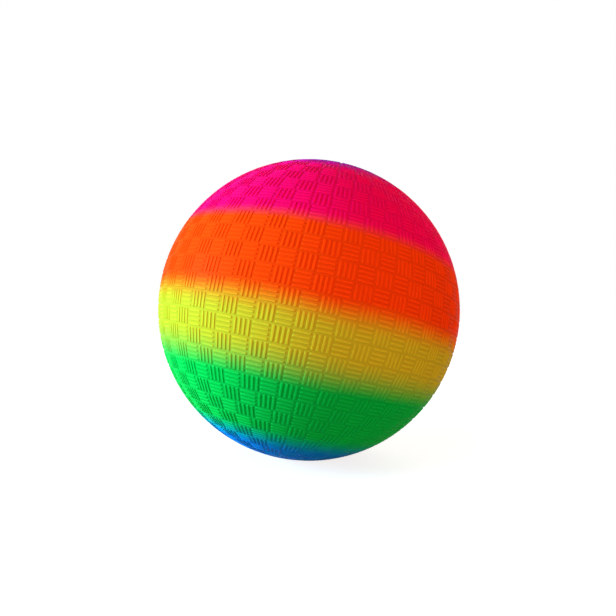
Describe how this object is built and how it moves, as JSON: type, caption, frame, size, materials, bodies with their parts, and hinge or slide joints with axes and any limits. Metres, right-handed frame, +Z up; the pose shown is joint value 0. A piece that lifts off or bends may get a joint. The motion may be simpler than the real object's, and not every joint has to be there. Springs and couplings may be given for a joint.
{
  "type": "toy ball",
  "caption": "Inflatable toy ball with a soft skin in rainbow bands, a basket-weave grip and a push-in stopper valve.",
  "frame": {"origin": "middle of the flat on which the ball rests, on the floor straight below the ball's centre", "axes": "+Z up; the picture is taken looking along +Y, with +X to its right; the valve's axis, which the colour bands and the weave go round, leans 12.6 degrees towards +X and 5.3 degrees towards +Y"},
  "size_m": [0.2158, 0.2158, 0.2153],
  "materials": {
    "skin": "soft PVC with a low gloss, sprayed in purple, pink, orange, yellow, green and blue bands",
    "seat": "soft PVC with a low gloss, sprayed purple with the skin around it",
    "plug": "plain moulded off-white plastic"
  },
  "bodies": {
    "ball": {"ball_skin": "skin", "valve_seat": "seat"},
    "plug": {"valve_plug": "plug"}
  },
  "joints": [
    {"name": "plug_pull", "type": "slide", "parent": "ball", "child": "plug", "axis": [0.2172, 0.0924, 0.9717], "range_m": [0, 0.022]}
  ]
}
